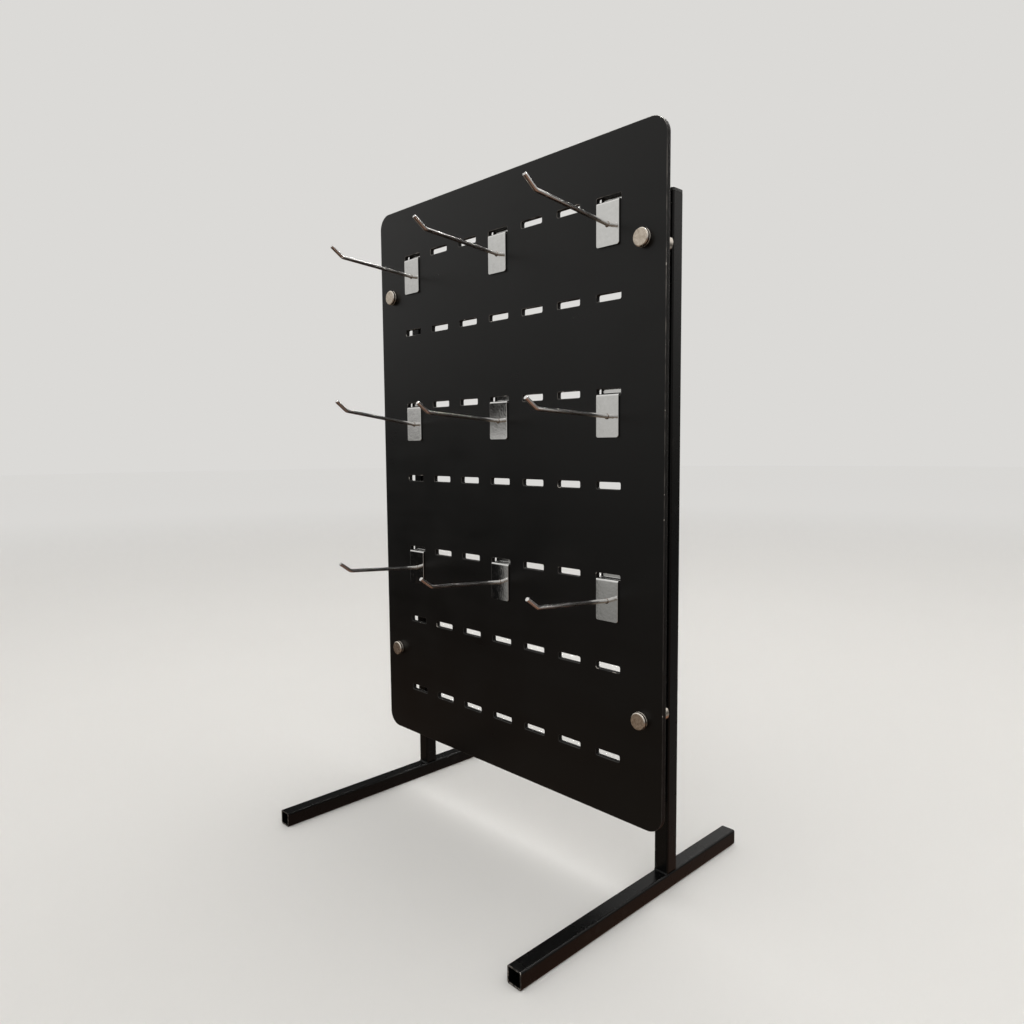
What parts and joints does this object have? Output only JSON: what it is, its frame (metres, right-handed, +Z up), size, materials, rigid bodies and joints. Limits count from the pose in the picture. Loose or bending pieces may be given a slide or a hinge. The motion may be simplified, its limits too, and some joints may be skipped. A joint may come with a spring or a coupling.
{
  "type": "slotted hook display stand",
  "caption": "Countertop pegboard stand: slotted black panel on standoffs, square-tube posts and feet, lift-off wire hooks.",
  "frame": {"origin": "on the table, midway between the feet and midway along their length", "axes": "+X to the right seen from the front, +Y towards the back, +Z up"},
  "size_m": [0.4, 0.306, 0.673],
  "materials": {
    "panel_sheet": "satin black sheet",
    "stand_steel": "semi-gloss black powder coat",
    "end_plug": "black moulded plastic",
    "standoff_metal": "fine brushed, warm nickel tone",
    "hook_chrome": "bright plated wire and strip"
  },
  "bodies": {
    "stand": {"panel": "panel_sheet", "left_foot": "stand_steel", "left_post": "stand_steel", "left_post_plug": "end_plug", "right_foot": "stand_steel", "right_post": "stand_steel", "right_post_plug": "end_plug", "standoff_cap_upper_left": "standoff_metal", "standoff_cap_upper_right": "standoff_metal", "standoff_cap_lower_left": "standoff_metal", "standoff_cap_lower_right": "standoff_metal", "standoff_barrel_upper_left": "standoff_metal", "standoff_barrel_upper_right": "standoff_metal", "standoff_barrel_lower_left": "standoff_metal", "standoff_barrel_lower_right": "standoff_metal"},
    "hook_r1c1": {"hook_plate_r1c1": "hook_chrome", "hook_arm_r1c1": "hook_chrome"},
    "hook_r1c4": {"hook_plate_r1c4": "hook_chrome", "hook_arm_r1c4": "hook_chrome"},
    "hook_r1c7": {"hook_plate_r1c7": "hook_chrome", "hook_arm_r1c7": "hook_chrome"},
    "hook_r3c1": {"hook_plate_r3c1": "hook_chrome", "hook_arm_r3c1": "hook_chrome"},
    "hook_r3c4": {"hook_plate_r3c4": "hook_chrome", "hook_arm_r3c4": "hook_chrome"},
    "hook_r3c7": {"hook_plate_r3c7": "hook_chrome", "hook_arm_r3c7": "hook_chrome"},
    "hook_r5c1": {"hook_plate_r5c1": "hook_chrome", "hook_arm_r5c1": "hook_chrome"},
    "hook_r5c4": {"hook_plate_r5c4": "hook_chrome", "hook_arm_r5c4": "hook_chrome"},
    "hook_r5c7": {"hook_plate_r5c7": "hook_chrome", "hook_arm_r5c7": "hook_chrome"}
  },
  "joints": [
    {"name": "hook_r1c1_lift", "type": "hinge", "parent": "stand", "child": "hook_r1c1", "pos_m": [-0.1401, 0.009, 0.6139], "axis": [-1, 0, 0], "range_deg": [0, 40]},
    {"name": "hook_r1c4_lift", "type": "hinge", "parent": "stand", "child": "hook_r1c4", "pos_m": [0, 0.009, 0.6139], "axis": [-1, 0, 0], "range_deg": [0, 40]},
    {"name": "hook_r1c7_lift", "type": "hinge", "parent": "stand", "child": "hook_r1c7", "pos_m": [0.1401, 0.009, 0.6139], "axis": [-1, 0, 0], "range_deg": [0, 40]},
    {"name": "hook_r3c1_lift", "type": "hinge", "parent": "stand", "child": "hook_r3c1", "pos_m": [-0.1401, 0.009, 0.4495], "axis": [-1, 0, 0], "range_deg": [0, 40]},
    {"name": "hook_r3c4_lift", "type": "hinge", "parent": "stand", "child": "hook_r3c4", "pos_m": [0, 0.009, 0.4495], "axis": [-1, 0, 0], "range_deg": [0, 40]},
    {"name": "hook_r3c7_lift", "type": "hinge", "parent": "stand", "child": "hook_r3c7", "pos_m": [0.1401, 0.009, 0.4495], "axis": [-1, 0, 0], "range_deg": [0, 40]},
    {"name": "hook_r5c1_lift", "type": "hinge", "parent": "stand", "child": "hook_r5c1", "pos_m": [-0.1401, 0.009, 0.2851], "axis": [-1, 0, 0], "range_deg": [0, 40]},
    {"name": "hook_r5c4_lift", "type": "hinge", "parent": "stand", "child": "hook_r5c4", "pos_m": [0, 0.009, 0.2851], "axis": [-1, 0, 0], "range_deg": [0, 40]},
    {"name": "hook_r5c7_lift", "type": "hinge", "parent": "stand", "child": "hook_r5c7", "pos_m": [0.1401, 0.009, 0.2851], "axis": [-1, 0, 0], "range_deg": [0, 40]}
  ]
}
